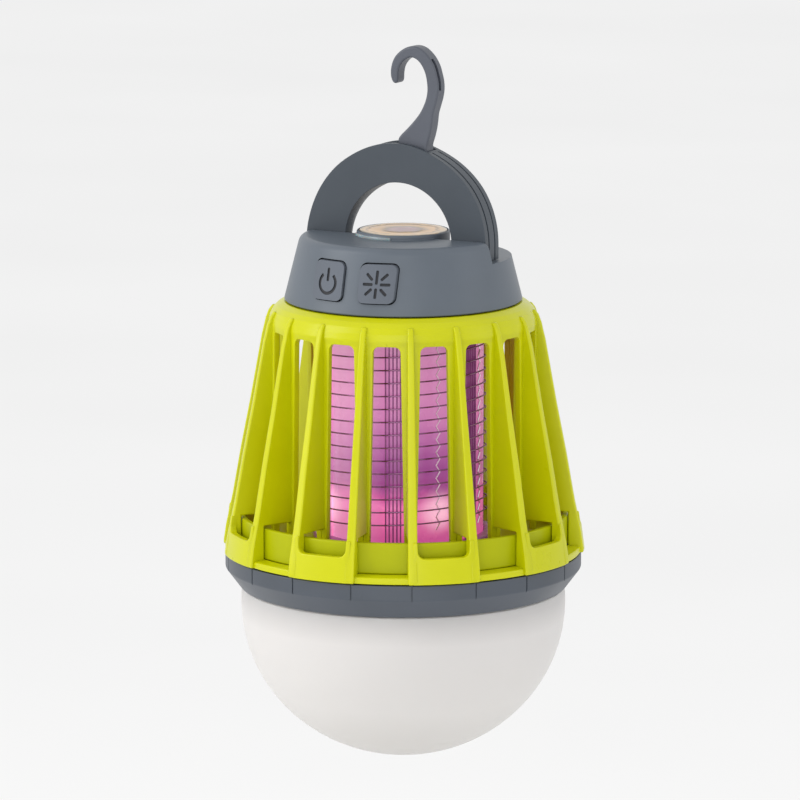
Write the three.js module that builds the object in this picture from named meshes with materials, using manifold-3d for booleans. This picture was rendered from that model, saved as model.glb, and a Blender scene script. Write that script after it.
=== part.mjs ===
// Hanging lantern insect zapper: cap with carry handle and folding hook, finned
// cage around a high-voltage wire grid and UV light column, and a domed lamp base.
// Millimetres, +Z up. The centre line is X = Y = 0, the front faces -Y.
// Heights below are counted from the lowest point of the dome; the whole
// assembly is lowered at the end so that the origin is the inner top of the handle.
import * as THREE from 'three';
import { mergeVertices } from 'three/addons/utils/BufferGeometryUtils.js';
import Module from 'manifold-3d';

const wasm = await Module();
wasm.setup();

// ---- driving dimensions ----------------------------------------------------
const SEG = 36;                 // facets round the main bodies
const CAGE_R = 45.0;            // outermost radius of the cage foot and base facets
const BAY_R = 44.2;             // recessed bays between the facets
const FINS = 18;                // radial fins, 20 degrees apart
const TABS = 9;                 // closed foot bands, 40 degrees apart
const FIN_T_LOW = 2.4;          // fin thickness at the foot
const FIN_T_HIGH = 1.5;         // fin thickness at the shoulder
const SEAM_LOW = 51.8;          // cage foot height
const FLANGE_TOP = 53.4;
const TAB_TOP = 58.0;
const WALL_R0 = 31.6;           // window wall of the cage, inner and outer radius
const WALL_R1 = 33.2;
const WALL_FOOT = 57.5;          // the wall's feet hang inside the catch tray
const WIN_TOP = 107.8;
const WIN_W_TOP = 6.5;
const WIN_W_LOW = 8.2;
const CAGE_TOP = 114.2;
const CAP_Z = 114.5;            // cap rim
const CAP_R = 29.4;
const CAP_SLOPE = 0.2523;       // radius lost per mm of height
const DECK_Z = 125.4;           // rear deck of the cap
const CROWN_Z = 130.5;          // front crown of the cap
const CROWN_Y = -3.95;          // rear edge of the crown
const CAP_WALL = 1.7;
const BOSS_R = 11.5;            // round boss under the arch
const BOSS_Z = 131.7;
const LABEL_R = 10.8;
const ARCH_Z = 129.5;           // handle arch centre
const ARCH_RO = 24.2;
const ARCH_RI = 14.2;
const HOLE = [0.4, 129.1, 14.6];  // finger opening: centre x, centre height, radius
const ARCH_HALF = 3.65;         // half of the handle's thickness
const SLOT_HALF = 2.4;          // half of the hook slot's width
const HOOK_HALF = 2.05;         // half of the hook's thickness
const PIVOT = [4.8, 151.0];     // hook pivot, x and height
const PIN_R = 1.0;
const BTN_X = 6.6;              // button centres either side of the front
const BTN_Z = 122.3;
const BTN_W = 8.8;
const BTN_H = 9.2;
const BTN_PROUD = 0.6;
const GRID_R = 21.7;            // wire coil radius
const WIRE_R = 0.3;
const GRID_PITCH = 6.4;         // two coils interleave, 3.2 mm apart
const SLEEVE_R = 19.8;
const CELL_R = 9.1;             // 18 x 65 mm cell with its sleeve
const CELL_Z = 57.6;
const CELL_L = 65;
const TRAY_R = 41.0;
const RING_Z = 43.0;            // lower edge of the base ring
const RING_TOP = 51.5;
const DOME_A = 40.3;            // dome half-axes
const DOME_B = 38.5;
const ORIGIN_Z = ARCH_Z + ARCH_RI;   // inner top of the handle

// ---- solids ----------------------------------------------------------------
function solid(geometry) {
  const g = geometry.clone();
  for (const name of Object.keys(g.attributes)) if (name !== 'position') g.deleteAttribute(name);
  const m = mergeVertices(g, 1e-4);
  const p = m.attributes.position.array;
  const src = m.index.array;
  let tris = [];
  for (let i = 0; i < src.length; i += 3) {
    const [a, b, c] = [src[i], src[i + 1], src[i + 2]];
    if (a !== b && b !== c && a !== c) tris.push(a, b, c);
  }
  let vol = 0;
  for (let i = 0; i < tris.length; i += 3) {
    const [a, b, c] = [tris[i] * 3, tris[i + 1] * 3, tris[i + 2] * 3];
    vol += p[a] * (p[b + 1] * p[c + 2] - p[b + 2] * p[c + 1])
         - p[a + 1] * (p[b] * p[c + 2] - p[b + 2] * p[c])
         + p[a + 2] * (p[b] * p[c + 1] - p[b + 1] * p[c]);
  }
  if (vol < 0) for (let i = 0; i < tris.length; i += 3) [tris[i + 1], tris[i + 2]] = [tris[i + 2], tris[i + 1]];
  return new wasm.Manifold(new wasm.Mesh({
    numProp: 3, vertProperties: new Float32Array(p), triVerts: new Uint32Array(tris),
  }));
}

const lathe = (profile, seg = SEG) => {
  const pts = profile.map(([r, z]) => new THREE.Vector2(Math.max(r, 0), z));
  if (profile[0][0] > 1e-6 || profile[profile.length - 1][0] > 1e-6) pts.push(pts[0].clone());
  return solid(new THREE.LatheGeometry(pts, seg).rotateX(Math.PI / 2));
};
const ring = (r0, r1, z0, z1, seg = SEG) => lathe([[r0, z0], [r1, z0], [r1, z1], [r0, z1]], seg);
const disc = (r, z0, z1, seg = 24) => lathe([[0, z0], [r, z0], [r, z1], [0, z1]], seg);
const box = (x0, x1, y0, y1, z0, z1) =>
  solid(new THREE.BoxGeometry(x1 - x0, y1 - y0, z1 - z0).translate((x0 + x1) / 2, (y0 + y1) / 2, (z0 + z1) / 2));
const pillar = (x, y, r, z0, z1, seg = 16) =>
  solid(new THREE.CylinderGeometry(r, r, z1 - z0, seg).rotateX(Math.PI / 2).translate(x, y, (z0 + z1) / 2));
const rodY = (x, z, r, y0, y1, seg = 16) =>
  solid(new THREE.CylinderGeometry(r, r, y1 - y0, seg).translate(x, (y0 + y1) / 2, z));

// outline in X and height, from y0 back to y1
const plateXZ = (pts, y0, y1) => {
  const s = new THREE.Shape(pts.map(([x, z]) => new THREE.Vector2(x, z)));
  return solid(new THREE.ExtrudeGeometry(s, { depth: y1 - y0, bevelEnabled: false, steps: 1 })
    .rotateX(Math.PI / 2).translate(0, y1, 0));
};
// outline in X and Y, from z0 up to z1
const plateXY = (pts, z0, z1) => {
  const s = new THREE.Shape(pts.map(([x, y]) => new THREE.Vector2(x, y)));
  return solid(new THREE.ExtrudeGeometry(s, { depth: z1 - z0, bevelEnabled: false, steps: 1 }).translate(0, 0, z0));
};
const roundRect = (cx, cz, w, h, r, n = 4) => {
  const pts = [];
  for (const [sx, sz, a0] of [[1, 1, 0], [-1, 1, 90], [-1, -1, 180], [1, -1, 270]]) {
    for (let i = 0; i <= n; i++) {
      const a = (a0 + 90 * i / n) * Math.PI / 180;
      pts.push([cx + sx * (w / 2 - r) + r * Math.cos(a), cz + sz * (h / 2 - r) + r * Math.sin(a)]);
    }
  }
  return pts;
};
const rad = (deg) => deg * Math.PI / 180;
const at = (deg, r) => [r * Math.sin(rad(deg)), -r * Math.cos(rad(deg))];   // azimuth from the front
const wedge = (a0, a1, z0, z1, r = 60) => {
  const n = Math.max(1, Math.ceil((a1 - a0) / 20));
  const pts = [[0, 0]];
  for (let i = 0; i <= n; i++) pts.push(at(a0 + (a1 - a0) * i / n, r));
  return plateXY(pts, z0, z1);
};
const turn = (s, deg) => s.rotate([0, 0, deg]);
const union = (list) => list.reduce((a, b) => a.add(b));

// ---- scene helpers -----------------------------------------------------------
const group = new THREE.Group();
group.name = 'insect_zapper_lantern';
const assembly = new THREE.Group();
assembly.position.set(0, 0, -ORIGIN_Z);
group.add(assembly);

const material = (color, roughness, metalness = 0) => new THREE.MeshStandardMaterial({ color, roughness, metalness });
const slate = material(0x5d6672, 0.52);
const slateDark = material(0x4d5560, 0.6);
const rubber = material(0x5a626c, 0.75);
const lime = material(0xc9d419, 0.35);
const frosted = material(0xe9e8e6, 0.45);
const steel = material(0xb9bcc0, 0.3, 1);
const board = material(0x1f5c39, 0.55);
const darkPlastic = material(0x222428, 0.5);
const whitePlastic = material(0xe8e8ea, 0.4);
const glow = material(0xd98ae0, 0.35);
const copper = material(0xb06a35, 0.35, 1);
const brass = material(0xc9a24a, 0.35, 1);
const cellWrap = material(0x2d6fb0, 0.4);
const ledWhite = material(0xf4efcf, 0.35);
const ledViolet = material(0xb58cff, 0.3);
const amber = material(0xe0a45c, 0.4);

function add(name, s, mat) {
  const m = s.getMesh();
  const g = new THREE.BufferGeometry();
  const pos = new Float32Array(m.numVert * 3);
  for (let i = 0; i < m.numVert; i++) {
    for (let k = 0; k < 3; k++) pos[i * 3 + k] = m.vertProperties[i * m.numProp + k];
  }
  g.setAttribute('position', new THREE.BufferAttribute(pos, 3));
  g.setIndex(Array.from(m.triVerts));
  g.computeVertexNormals();
  const mesh = new THREE.Mesh(g, mat);
  mesh.name = name;
  assembly.add(mesh);
  return mesh;
}

// ---- cap -----------------------------------------------------------------------
const capR = (z) => CAP_R - (z - CAP_Z) * CAP_SLOPE;
const capBosses = [50, 130, 230, 310];
{
  const crown = [[0, CAP_Z], [CAP_R, CAP_Z]];
  crown.push([capR(124.6), 124.6], [capR(128.5), 128.5]);
  for (const a of [30, 60]) crown.push([capR(129.2) - 2.0 + 2.0 * Math.cos(rad(a)), 128.5 + 2.0 * Math.sin(rad(a))]);
  crown.push([capR(129.2) - 2.0, CROWN_Z], [0, CROWN_Z]);
  let cap = lathe(crown);
  // rear half is lower than the front crown
  cap = cap.subtract(box(-40, 40, CROWN_Y, 40, DECK_Z, 140));
  cap = cap.add(lathe([[0, 122], [BOSS_R, 122], [BOSS_R, BOSS_Z - 0.5], [BOSS_R - 0.5, BOSS_Z], [0, BOSS_Z]], SEG));
  // cavity
  const inner = (z) => capR(z) - CAP_WALL;
  const low = lathe([[0, CAP_Z - 5], [inner(CAP_Z), CAP_Z - 5], [inner(CAP_Z), CAP_Z], [inner(DECK_Z - CAP_WALL), DECK_Z - CAP_WALL], [0, DECK_Z - CAP_WALL]]);
  const high = lathe([[0, 120], [inner(120), 120], [inner(128.7), 128.7], [0, 128.7]])
    .subtract(box(-40, 40, CROWN_Y - CAP_WALL, 40, 100, 140));
  cap = cap.subtract(low).subtract(high).subtract(disc(9.9, 118, 130.0));
  // pad behind the charging port
  cap = cap.add(box(-8.6, 8.6, 23.6, 26.6, 117.6, DECK_Z - 0.6)
    .intersect(lathe([[0, 110], [capR(110) - 0.4, 110], [capR(130) - 0.4, 130], [0, 130]])));
  // screw bosses
  for (const a of capBosses) {
    const [x, y] = at(a, 25);
    cap = cap.add(pillar(x, y, 2.5, CAP_Z + 0.6, DECK_Z - 0.8, 12)
      .intersect(lathe([[0, 110], [capR(110) - 0.4, 110], [capR(130) - 0.4, 130], [0, 130]])));
    cap = cap.subtract(pillar(x, y, 1.25, CAP_Z - 1, DECK_Z - 3.4, 12));
  }
  // button openings
  for (const s of [-1, 1]) {
    cap = cap.subtract(plateXZ(roundRect(s * BTN_X, BTN_Z, BTN_W + 0.7, BTN_H + 0.7, 1.9, 4), -40, -15));
  }
  // charging port opening and the seat of its cover
  cap = cap.subtract(plateXZ(roundRect(0, 119.7, 10.4, 4.8, 1.6, 3), 15, 40));
  cap = cap.subtract(plateXZ(roundRect(0, 119.7, 13.9, 7.5, 1.9, 3), 26.0, 40));
  // handle sockets
  for (const s of [-1, 1]) cap = cap.subtract(box(s * 19.25 - 3.05, s * 19.25 + 3.05, -2.5, 2.5, 118, 130));
  // label seat
  cap = cap.subtract(disc(LABEL_R + 0.25, BOSS_Z - 0.7, BOSS_Z + 2, SEG));
  add('cap_shell', cap, slate);
}
add('label_disc', disc(LABEL_R, BOSS_Z - 0.5, BOSS_Z, SEG), amber);

// ---- buttons, switches and boards ----------------------------------------------
const capSkin = (off) => lathe([[0, 108], [capR(108) + off, 108], [capR(135) + off, 135], [0, 135]], 72);
for (const [s, name] of [[-1, 'power'], [1, 'mode']]) {
  const cx = s * BTN_X;
  let b = plateXZ(roundRect(cx, BTN_Z, BTN_W, BTN_H, 1.6, 4), -34, -21.2).intersect(capSkin(BTN_PROUD));
  b = b.add(plateXZ(roundRect(cx, BTN_Z, BTN_W + 1.3, BTN_H - 0.2, 1.6, 2), -21.9, -20.9)
    .intersect(lathe([[0, 108], [capR(108) - 2.1, 108], [capR(135) - 2.1, 135], [0, 135]], 72)));
  add(`${name}_button`, b, rubber);
  let sw = box(cx - 3, cx + 3, -18.9, -15.9, BTN_Z - 3, BTN_Z + 3);
  sw = sw.add(rodY(cx, BTN_Z, 1.7, -19.9, -18.5, 14));
  add(`${name}_switch`, sw, darkPlastic);
}
{
  let b = box(-13, 13, -15.6, -14.1, 117.6, 123.3).add(box(-13, 13, -15.6, -14.1, 123, 128.2));
  add('button_board', b, board);
}
{
  let b = ring(10.8, 21.8, 115.7, 117.3, 24);
  b = b.add(box(-7.5, 7.5, 19, 25.6, 115.7, 117.3).intersect(disc(26.5, 110, 120, SEG)));
  for (const a of [90, 270]) { const [x, y] = at(a, 17); b = b.subtract(pillar(x, y, 1.6, 110, 120, 12)); }
  add('main_board', b, board);
}
{
  // step-up transformer: ferrite core halves around a wound bobbin
  let t = box(-19.4, -12.2, 3.0, 11.4, 117.6, 123.2);
  t = t.subtract(box(-20.4, -17.6, 2, 12.5, 118.9, 121.9)).subtract(box(-14.0, -11.0, 2, 12.5, 118.9, 121.9));
  add('hv_transformer', t, darkPlastic);
}
add('hv_capacitor', pillar(15.4, 6.4, 3.4, 117.6, 123.2, 14), copper);
{
  let p = box(-4.5, 4.5, 19.0, 25.4, 117.6, 120.9);
  p = p.subtract(plateXZ(roundRect(0, 119.25, 8.2, 2.4, 1.1, 4), 20.0, 30));
  p = p.add(box(-3.2, 3.2, 19.5, 24.6, 118.95, 119.55));
  add('usb_port', p, steel);
}
{
  // cover flap flush with the cap, with a shallow plug that enters the port opening
  let f = plateXZ(roundRect(0, 119.7, 13.2, 6.8, 1.6, 3), 26.3, 34).intersect(capSkin(0.15));
  f = f.add(plateXZ(roundRect(0, 119.7, 8.0, 2.6, 1.2, 3), 25.6, 26.5));
  add('usb_cover', f, rubber);
}

// ---- handle, hook and pin --------------------------------------------------------
const arc = (cx, cz, r, a0, a1, n) => {
  const out = [];
  for (let i = 0; i <= n; i++) {
    const a = rad(a0 + (a1 - a0) * i / n);
    out.push([cx + r * Math.cos(a), cz + r * Math.sin(a)]);
  }
  return out;
};
// rim of the arch: nearly round, a little flatter over the top and wider at the left foot
const RIM = [[0, 0.1], [30, -0.1], [50, -0.5], [65, -0.7], [80, -0.5], [95, -0.35], [120, -0.4], [135, -0.2], [150, 0.0], [165, 0.3], [180, 0.8]];
const rimR = (deg) => {
  let i = 1;
  while (i < RIM.length - 1 && deg > RIM[i][0]) i++;
  const [[a, p], [b, q]] = [RIM[i - 1], RIM[i]];
  return ARCH_RO + p + (q - p) * (deg - a) / (b - a);
};
const rimArc = (off, a0, a1, n) => {
  const out = [];
  for (let i = 0; i <= n; i++) {
    const a = a0 + (a1 - a0) * i / n, r = rimR(a) + off;
    out.push([r * Math.cos(rad(a)), ARCH_Z + r * Math.sin(rad(a))]);
  }
  return out;
};
{
  const legZ = DECK_Z + 0.2;
  const outline = [[ARCH_RO + 0.1, legZ], ...rimArc(0, 0, 180, 30), [-ARCH_RO - 0.8, legZ],
    [HOLE[0] - HOLE[2], legZ], ...arc(HOLE[0], HOLE[1], HOLE[2], 180, 0, 22), [HOLE[0] + HOLE[2], legZ]];
  let h = plateXZ(outline, -ARCH_HALF, ARCH_HALF);
  // slot in the rim that the hook folds into, to the left of the pivot, with a thin floor
  const slot = [[7.95, 160], [7.95, 142.92], ...arc(0, ARCH_Z, ARCH_RI + 1.4, 60, 155, 12), ...arc(0, ARCH_Z, ARCH_RO + 3, 155, 100, 6)];
  h = h.subtract(plateXZ(slot, -SLOT_HALF, SLOT_HALF));
  // two fine grooves round the right-hand side of the rim
  const groove = [...rimArc(-0.7, 2, 70, 10), ...rimArc(2, 70, 2, 10)];
  h = h.subtract(plateXZ(groove, -1.9, -1.3)).subtract(plateXZ(groove, 1.4, 1.9));
  // pin seat, blind at the front
  h = h.subtract(rodY(PIVOT[0], PIVOT[1], PIN_R + 0.2, -3.0, 6, 16));
  for (const s of [-1, 1]) h = h.add(box(s * 19.25 - 2.75, s * 19.25 + 2.75, -2.2, 2.2, 121.2, 127));
  add('handle', h, slate);
}
const HOOK_OUTLINE = [
  [7.5, 151.0], [7.4, 152.9], [8.0, 154.9], [8.5, 156.9], [8.8, 158.8], [9.05, 160.8], [9.7, 162.8], [10.2, 164.7],
  [10.5, 166.7], [10.4, 168.7], [9.95, 170.6], [9.3, 172.6], [8.2, 174.6], [6.3, 176.5], [4.9, 177.05], [3.5, 177.2],
  [1.9, 176.9], [0.2, 176.0], [-1.3, 174.6], [-2.2, 172.9], [-2.6, 171.0], [-2.5, 169.3], [-1.9, 168.1], [-1.1, 167.9],
  [-0.6, 168.6], [-0.5, 170.3], [-0.1, 172.0], [1.0, 173.5], [2.2, 174.2], [3.3, 174.4], [4.7, 173.7], [5.8, 172.6],
  [6.9, 170.6], [7.2, 168.7], [7.5, 166.7], [7.2, 164.7], [6.4, 162.8], [5.3, 160.8], [3.6, 158.8], [2.0, 156.9],
  [-0.2, 154.9], [-0.5, 153.6], [0.4, 152.6], [1.7, 151.9], [2.1, 150.4], [2.9, 149.0], [4.3, 148.25], [5.8, 148.4], [7.0, 149.4],
];
{
  let h = plateXZ(HOOK_OUTLINE, -HOOK_HALF, HOOK_HALF);
  h = h.subtract(rodY(PIVOT[0], PIVOT[1], PIN_R + 0.35, -5, 5, 20));
  // short groove in the outer edge of the spine
  const rec = [[9.5, 167.2], [9.4, 168.6], [8.9, 170.5], [8.2, 172.2], [7.6, 173.2], [9.6, 174.6], [12, 171], [12, 167.2]];
  h = h.subtract(plateXZ(rec, -1.55, -0.2));
  add('hook', h, slate);
}
add('hook_pin', rodY(PIVOT[0], PIVOT[1], PIN_R, -2.8, 3.55, 16), steel);

// ---- cage --------------------------------------------------------------------------
const FIN_OUTER = [[45.0, 51.8], [45.0, 52.9], [44.4, 56.9], [40.5, 77.1], [35.2, 105.2],
  [34.25, 109.2], [32.5, 112.3]];
{
  let c = lathe([
    [29.5, CAGE_TOP], [10.1, CAGE_TOP], [10.1, 112.7], [28.4, 112.7], [30.9, 111.3], [WALL_R0, 109.4], [WALL_R0, WALL_FOOT],
    [WALL_R1, WALL_FOOT], [WALL_R1, 109.3], [32.7, 111.4], [31.4, 113.2]]);
  // windows, open at the bottom, tops rounded
  const wt = WIN_W_TOP / 2, wl = WIN_W_LOW / 2, rr = 1.5;
  const win = [[wl, 56], [wt + 0.05, WIN_TOP - rr], [wt - rr, WIN_TOP],
    [-wt + rr, WIN_TOP], [-wt - 0.05, WIN_TOP - rr], [-wl, 56]];
  for (let i = 0; i < FINS; i++) c = c.subtract(turn(plateXZ(win, -40, -25), i * 20));
  // fins, thinner towards the shoulder
  const finShape = [...FIN_OUTER, [32.2, 112.0], [32.2, 62.0], [41.5, 62.0], [41.5, 51.8]];
  const s = new THREE.Shape(finShape.map(([r, z]) => new THREE.Vector2(r, z)));
  const g = new THREE.ExtrudeGeometry(s, { depth: 1, bevelEnabled: false, steps: 1 });
  const p = g.attributes.position;
  for (let i = 0; i < p.count; i++) {
    const k = Math.min(1, Math.max(0, (p.getY(i) - 52) / 60));
    const t = FIN_T_LOW + (FIN_T_HIGH - FIN_T_LOW) * k;
    p.setZ(i, (p.getZ(i) - 0.5) * t);
  }
  const fin = solid(g.rotateX(Math.PI / 2));           // lies along +X, upright
  for (let i = 0; i < FINS; i++) c = c.add(turn(fin, -90 + 10 + i * 20));
  // foot: continuous flange, and a band across every second bay
  c = c.add(ring(41.5, BAY_R, SEAM_LOW, FLANGE_TOP));
  const band = ring(43.2, CAGE_R, SEAM_LOW, TAB_TOP);
  for (let i = 0; i < TABS; i++) c = c.add(band.intersect(wedge(i * 40 - 10, i * 40 + 10, 40, 70)));
  // lugs that the lamp base locks under
  for (const a of [20, 140, 260]) c = c.add(ring(40.7, 42.0, SEAM_LOW, SEAM_LOW + 0.6).intersect(wedge(a - 6, a + 6, 40, 70)));
  // screw holes and grid lead holes in the roof
  for (const a of capBosses) { const [x, y] = at(a, 25); c = c.subtract(pillar(x, y, 1.5, 100, 120, 12)); }
  for (const a of [100, 280]) { const [x, y] = at(a, GRID_R); c = c.subtract(pillar(x, y, 1.2, 100, 120, 10)); }
  add('cage', c, lime);
}
for (let i = 0; i < 4; i++) {
  const [x, y] = at(capBosses[i], 25);
  const s = pillar(x, y, 2.1, 110.9, 112.45, 12).add(pillar(x, y, 1.0, 112, 120.6, 8))
    .subtract(box(x - 1.5, x + 1.5, y - 0.3, y + 0.3, 110, 111.5));
  add(`cap_screw_${i + 1}`, s, steel);
}

// ---- high-voltage grid ------------------------------------------------------------
{
  let f = ring(20.1, 22.5, 109.3, 112.4, 24).add(ring(20.1, 22.5, 55.2, 56.8, 24));
  for (let i = 0; i < 6; i++) f = f.add(turn(box(-2.1, 2.1, -20.8, -20.15, 56, 110).subtract(box(-0.7, 0.7, -22, -19, 60, 107)), 20 + 60 * i));
  for (const a of [100, 280]) { const [x, y] = at(a, GRID_R); f = f.subtract(pillar(x, y, 0.9, 105, 115, 8)); }
  add('grid_frame', f, darkPlastic);
}
const TURNS = 7.5, WIRE_Z0 = 60.0;
class Coil extends THREE.Curve {
  constructor(endDeg) { super(); this.end = endDeg; }
  getPoint(t, target = new THREE.Vector3()) {
    const coilLen = TURNS * 2 * Math.PI * GRID_R, top = WIRE_Z0 + TURNS * GRID_PITCH;
    const lead = 115.3 - top, total = coilLen + lead, s = t * total;
    if (s <= coilLen) {
      const k = s / coilLen, [x, y] = at(this.end - (1 - k) * TURNS * 360, GRID_R);
      return target.set(x, y, WIRE_Z0 + k * TURNS * GRID_PITCH);
    }
    const [x, y] = at(this.end, GRID_R);
    return target.set(x, y, top + (s - coilLen));
  }
}
for (const [name, end] of [['grid_wire_live', 100], ['grid_wire_return', 280]]) {
  const sec = new THREE.Shape([[1, 0], [0, 1], [-1, 0], [0, -1]].map(([a, b]) => new THREE.Vector2(a * WIRE_R, b * WIRE_R)));
  const g = new THREE.ExtrudeGeometry(sec, { steps: 140, extrudePath: new Coil(end), bevelEnabled: false });
  add(name, solid(g), steel);
}

// ---- light column and cell -----------------------------------------------------------
add('light_sleeve', ring(18.6, SLEEVE_R, 55.3, 112.4, SEG), glow);
{
  let t = ring(9.35, 9.9, 55.4, 112.4, 24).add(disc(9.9, 55.4, 56.2, 24));
  for (const x of [-2.6, 2.6]) t = t.subtract(pillar(x, 0, 1.3, 50, 60, 12));
  add('battery_tube', t, whitePlastic);
}
{
  const r = CELL_R, z = CELL_Z, l = CELL_L;
  add('battery_cell', lathe([[0, z], [r - 0.5, z], [r, z + 0.5], [r, z + l - 2.4], [r - 0.6, z + l - 1.8], [3.2, z + l - 1.4], [3.2, z + l], [0, z + l]], 24), cellWrap);
}
{
  const sec = new THREE.Shape([[1, 0], [0, 1], [-1, 0], [0, -1]].map(([a, b]) => new THREE.Vector2(a * 0.22, b * 0.22)));
  class Cone extends THREE.Curve {
    getPoint(t, target = new THREE.Vector3()) {
      const a = t * 2.4 * 2 * Math.PI, r = 6.4 - 3.2 * t;
      return target.set(r * Math.cos(a), r * Math.sin(a), 56.5 + t * 0.7);
    }
  }
  add('battery_spring', solid(new THREE.ExtrudeGeometry(sec, { steps: 28, extrudePath: new Cone(), bevelEnabled: false })), brass);
}
add('battery_contact', box(-2.0, 2.0, -7.6, 6.8, 122.8, 123.15).add(box(-2.0, 2.0, -7.6, -7.25, 122.9, 127.6)), brass);
add('led_carrier', ring(10.2, 18.3, 55.6, 57.4, 24), whitePlastic);
add('uv_led_board', ring(10.2, 18.3, 57.6, 58.8, 24), board);
for (let i = 0; i < 4; i++) {
  const a = 58 + 90 * i, [x, y] = at(a, 15.8);
  const led = solid(new THREE.BoxGeometry(3.0, 2.2, 1.4)).add(solid(new THREE.SphereGeometry(0.95, 10, 6).translate(0, 0, 0.6)));
  add(`uv_led_${i + 1}`, turn(led, a).translate([x, y, 59.7]), ledViolet);
}
for (const [i, x] of [[1, -2.6], [2, 2.6]]) {
  add(`lamp_contact_pin_${i}`, pillar(x, 0, 0.9, 52.5, 56.0, 12), brass);
}

// ---- catch tray and lamp base ----------------------------------------------------------
add('catch_tray', lathe([[6.5, 53.6], [TRAY_R, 53.6], [TRAY_R, 61.3], [39.5, 61.3], [39.5, 54.9], [8.0, 54.9], [8.0, 54.9], [6.5, 54.9]]
  .filter((p, i, l) => i === 0 || p[0] !== l[i - 1][0] || p[1] !== l[i - 1][1])), lime);
{
  let r = lathe([[38.9, RING_Z], [40.6, RING_Z], [BAY_R, 47.8], [BAY_R, RING_TOP],
    [42.6, RING_TOP], [42.6, 48.3], [39.6, 44.4], [38.9, 44.4]]);
  const facet = lathe([[42.9, 46.2], [CAGE_R, 48.3], [CAGE_R, RING_TOP], [42.9, RING_TOP]]);
  for (let i = 0; i < TABS; i++) r = r.add(facet.intersect(wedge(i * 40 - 10, i * 40 + 10, 30, 70)));
  // lugs under the plate
  for (const a of [60, 180, 300]) {
    const [x, y] = at(a, 38.4);
    r = r.add(ring(36.0, 43.2, 46.9, 49.5).intersect(wedge(a - 5, a + 5, 30, 70))).subtract(pillar(x, y, 1.1, 45, 55, 12));
  }
  add('base_ring', r, slateDark);
}
{
  let p = disc(42.3, 49.8, 51.3, SEG);
  // hooks that pass over the cage lugs
  for (const a of [20, 140, 260]) {
    p = p.add(lathe([[39.3, 51], [40.3, 51], [40.3, 52.75], [41.2, 52.75], [41.2, 53.3], [39.3, 53.3]]).intersect(wedge(a - 6, a + 6, 30, 70)));
  }
  for (const a of [60, 180, 300]) { const [x, y] = at(a, 38.4); p = p.subtract(pillar(x, y, 1.4, 45, 55, 12)); }
  for (const x of [-2.6, 2.6]) p = p.subtract(pillar(x, 0, 1.0, 45, 55, 10));
  add('base_plate', p, slateDark);
}
for (let i = 0; i < 3; i++) {
  const [x, y] = at([60, 180, 300][i], 38.4);
  const s = pillar(x, y, 2.0, 51.45, 52.9, 12).add(pillar(x, y, 0.85, 47.2, 51.6, 8))
    .subtract(box(x - 1.3, x + 1.3, y - 0.3, y + 0.3, 52.2, 54));
  add(`base_screw_${i + 1}`, s, steel);
}
add('contact_disc', disc(5.6, 51.5, 52.2, 24), board);
add('lamp_board', disc(33, 47.8, 49.4, SEG), whitePlastic);
const LEDS = 6;
{
  let r = disc(38.2, 46.2, 46.8, SEG);
  for (let i = 0; i < LEDS; i++) { const [x, y] = at(30 + 60 * i, 19); r = r.subtract(pillar(x, y, 3.9, 40, 50, 16)); }
  add('reflector', r, whitePlastic);
}
for (let i = 0; i < LEDS; i++) {
  const a = 30 + 60 * i, [x, y] = at(a, 19);
  let led = box(-2.5, 2.5, -2.5, 2.5, 46.2, 47.6).subtract(solid(new THREE.CylinderGeometry(2.1, 1.7, 0.6, 14).rotateX(-Math.PI / 2).translate(0, 0, 46.2)));
  add(`lamp_led_${i + 1}`, turn(led, a).translate([x, y, 0]), ledWhite);
}
add('dome_seal', ring(37.0, 38.5, 45.4, 46.0), rubber);
{
  const prof = [[0, 0]];
  const zc = DOME_B;
  for (let i = 1; i <= 7; i++) {
    const t = rad(90 * i / 7);
    prof.push([DOME_A * Math.sin(t), zc - DOME_B * Math.cos(t)]);
  }
  prof.push([40.05, 42.7], [38.5, 42.7], [38.5, 45.2], [37.0, 45.2], [37.0, 42.6]);
  const a = DOME_A - 1.9, b = DOME_B - 1.9;
  for (let i = 4; i >= 1; i--) {
    const t = rad(90 * i / 5);
    prof.push([a * Math.sin(t), zc - b * Math.cos(t)]);
  }
  prof.push([0, 1.9]);
  add('dome_diffuser', lathe(prof), frosted);
}

export default group;
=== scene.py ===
import math
import bpy
import bmesh
import numpy as np
from mathutils import Vector, Matrix


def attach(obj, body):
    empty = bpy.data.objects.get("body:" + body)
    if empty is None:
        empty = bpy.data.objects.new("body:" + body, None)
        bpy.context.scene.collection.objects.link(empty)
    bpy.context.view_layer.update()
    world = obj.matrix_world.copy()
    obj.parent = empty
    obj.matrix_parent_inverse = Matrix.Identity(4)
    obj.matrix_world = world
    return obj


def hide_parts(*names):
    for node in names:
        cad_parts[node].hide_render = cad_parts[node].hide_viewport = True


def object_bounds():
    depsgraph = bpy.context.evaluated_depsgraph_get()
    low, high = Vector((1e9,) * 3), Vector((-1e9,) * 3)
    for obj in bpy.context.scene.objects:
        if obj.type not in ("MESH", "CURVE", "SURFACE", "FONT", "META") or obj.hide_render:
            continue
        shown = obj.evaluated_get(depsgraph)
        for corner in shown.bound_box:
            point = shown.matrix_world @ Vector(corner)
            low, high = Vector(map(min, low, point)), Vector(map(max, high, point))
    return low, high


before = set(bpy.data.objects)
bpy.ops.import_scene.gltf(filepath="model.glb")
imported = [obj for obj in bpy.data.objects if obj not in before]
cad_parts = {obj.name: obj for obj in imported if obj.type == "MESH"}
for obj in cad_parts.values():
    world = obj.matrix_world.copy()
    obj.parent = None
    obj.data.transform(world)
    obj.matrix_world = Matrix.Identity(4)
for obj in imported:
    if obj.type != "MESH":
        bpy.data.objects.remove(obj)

CAD_BOX = [list(v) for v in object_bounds()]
ZO = 143.7                      # height of the row origin above the dome's lowest point, mm
SEG = 180


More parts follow.
